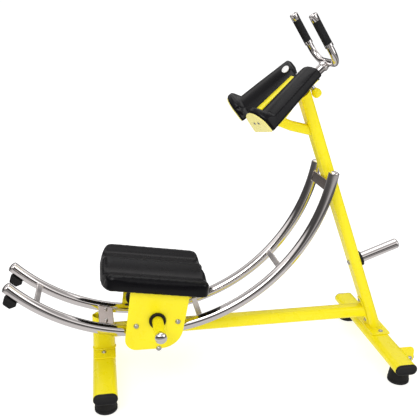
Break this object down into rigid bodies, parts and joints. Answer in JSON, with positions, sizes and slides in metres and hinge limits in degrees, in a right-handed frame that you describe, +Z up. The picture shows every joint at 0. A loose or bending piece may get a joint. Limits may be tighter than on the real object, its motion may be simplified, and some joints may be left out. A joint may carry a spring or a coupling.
{
  "type": "ab crunch machine",
  "caption": "Ab crunch machine with a curved twin-rail track, a rolling knee carriage with weight pegs, an elbow rest and a U handlebar.",
  "frame": {"origin": "centre of the bounding box's underside, on the floor", "axes": "+X from the open end of the track towards the rear post, Y across the machine, +Z up"},
  "size_m": [1.452, 0.594, 1.2593],
  "materials": {
    "yellow_paint": "gloss powder coat",
    "chrome": "polished",
    "steel": "zinc plated",
    "vinyl": "satin moulded foam skin",
    "rubber": "matte",
    "black_plastic": "matte"
  },
  "bodies": {
    "frame": {"front_foot_bar": "yellow_paint", "rear_foot_bar": "yellow_paint", "front_upright": "yellow_paint", "main_beam": "yellow_paint", "rear_post": "yellow_paint", "brace_tube": "yellow_paint", "head_tube": "yellow_paint", "head_bush": "black_plastic", "pad_plate": "yellow_paint", "front_bracket": "chrome", "top_bracket": "chrome", "rung_low": "chrome", "rung_mid": "chrome", "rung_high": "chrome", "storage_peg": "chrome", "storage_collar": "rubber", "wheel_bracket": "yellow_paint", "wheel_axle": "steel", "foot_cap_front_near": "black_plastic", "foot_cap_rear_near": "black_plastic", "rubber_foot_front_near": "rubber", "rubber_foot_rear_near": "rubber", "elbow_pad_near": "vinyl", "rail_near": "chrome", "rail_cap_low_near": "chrome", "rail_cap_high_near": "chrome", "rail_bumper_near": "rubber", "foot_cap_front_far": "black_plastic", "foot_cap_rear_far": "black_plastic", "rubber_foot_front_far": "rubber", "rubber_foot_rear_far": "rubber", "elbow_pad_far": "vinyl", "rail_far": "chrome", "rail_cap_low_far": "chrome", "rail_cap_high_far": "chrome", "rail_bumper_far": "rubber"},
    "carriage": {"mount_plate": "yellow_paint", "knee_pad": "vinyl", "upper_front_axle": "steel", "upper_rear_axle": "steel", "side_plate_near": "yellow_paint", "weight_peg_near": "yellow_paint", "peg_collar_near": "rubber", "lower_axle_near": "steel", "side_plate_far": "yellow_paint", "weight_peg_far": "yellow_paint", "peg_collar_far": "rubber", "lower_axle_far": "steel"},
    "roller_upper_front_near": {"roller_upper_front_near": "black_plastic"},
    "roller_upper_front_far": {"roller_upper_front_far": "black_plastic"},
    "roller_upper_rear_near": {"roller_upper_rear_near": "black_plastic"},
    "roller_upper_rear_far": {"roller_upper_rear_far": "black_plastic"},
    "roller_lower_near": {"roller_lower_near": "black_plastic"},
    "roller_lower_far": {"roller_lower_far": "black_plastic"},
    "handlebar": {"handlebar": "chrome", "grip_near": "rubber", "grip_far": "rubber"},
    "pull_pin": {"pull_pin": "yellow_paint"},
    "transport_wheel": {"transport_wheel": "rubber"}
  },
  "joints": [
    {"name": "carriage_travel", "type": "hinge", "parent": "frame", "child": "carriage", "pos_m": [-0.2416, 0, 0.847], "axis": [0, -1, 0], "range_deg": [-39, 57]},
    {"name": "roller_upper_front_near_spin", "type": "hinge", "parent": "carriage", "child": "roller_upper_front_near", "pos_m": [-0.29073, -0.0885, 0.24299], "axis": [0, -1, 0], "continuous": true},
    {"name": "roller_upper_front_far_spin", "type": "hinge", "parent": "carriage", "child": "roller_upper_front_far", "pos_m": [-0.29073, 0.0885, 0.24299], "axis": [0, -1, 0], "continuous": true},
    {"name": "roller_upper_rear_near_spin", "type": "hinge", "parent": "carriage", "child": "roller_upper_rear_near", "pos_m": [-0.14837, -0.0885, 0.24821], "axis": [0, -1, 0], "continuous": true},
    {"name": "roller_upper_rear_far_spin", "type": "hinge", "parent": "carriage", "child": "roller_upper_rear_far", "pos_m": [-0.14837, 0.0885, 0.24821], "axis": [0, -1, 0], "continuous": true},
    {"name": "roller_lower_near_spin", "type": "hinge", "parent": "carriage", "child": "roller_lower_near", "pos_m": [-0.2161, -0.0885, 0.15147], "axis": [0, -1, 0], "continuous": true},
    {"name": "roller_lower_far_spin", "type": "hinge", "parent": "carriage", "child": "roller_lower_far", "pos_m": [-0.2161, 0.0885, 0.15147], "axis": [0, -1, 0], "continuous": true},
    {"name": "handlebar_slide", "type": "slide", "parent": "frame", "child": "handlebar", "axis": [0.7373, 0, 0.6756], "range_m": [-0.03, 0.05]},
    {"name": "pull_pin_slide", "type": "slide", "parent": "frame", "child": "pull_pin", "axis": [0.6756, 0, -0.7373], "range_m": [0, 0.012], "stiffness_N_per_m": 800, "springref_m": -0.01},
    {"name": "wheel_spin", "type": "hinge", "parent": "frame", "child": "transport_wheel", "pos_m": [0.70398, -0.1684, 0.045], "axis": [0, 1, 0], "continuous": true}
  ],
  "couplings": [
    {"joint": "roller_upper_front_near_spin", "follows": "carriage_travel", "ratio": -24.882},
    {"joint": "roller_upper_front_far_spin", "follows": "carriage_travel", "ratio": -24.882},
    {"joint": "roller_upper_rear_near_spin", "follows": "carriage_travel", "ratio": -24.882},
    {"joint": "roller_upper_rear_far_spin", "follows": "carriage_travel", "ratio": -24.882},
    {"joint": "roller_lower_near_spin", "follows": "carriage_travel", "ratio": 26.378},
    {"joint": "roller_lower_far_spin", "follows": "carriage_travel", "ratio": 26.378}
  ]
}
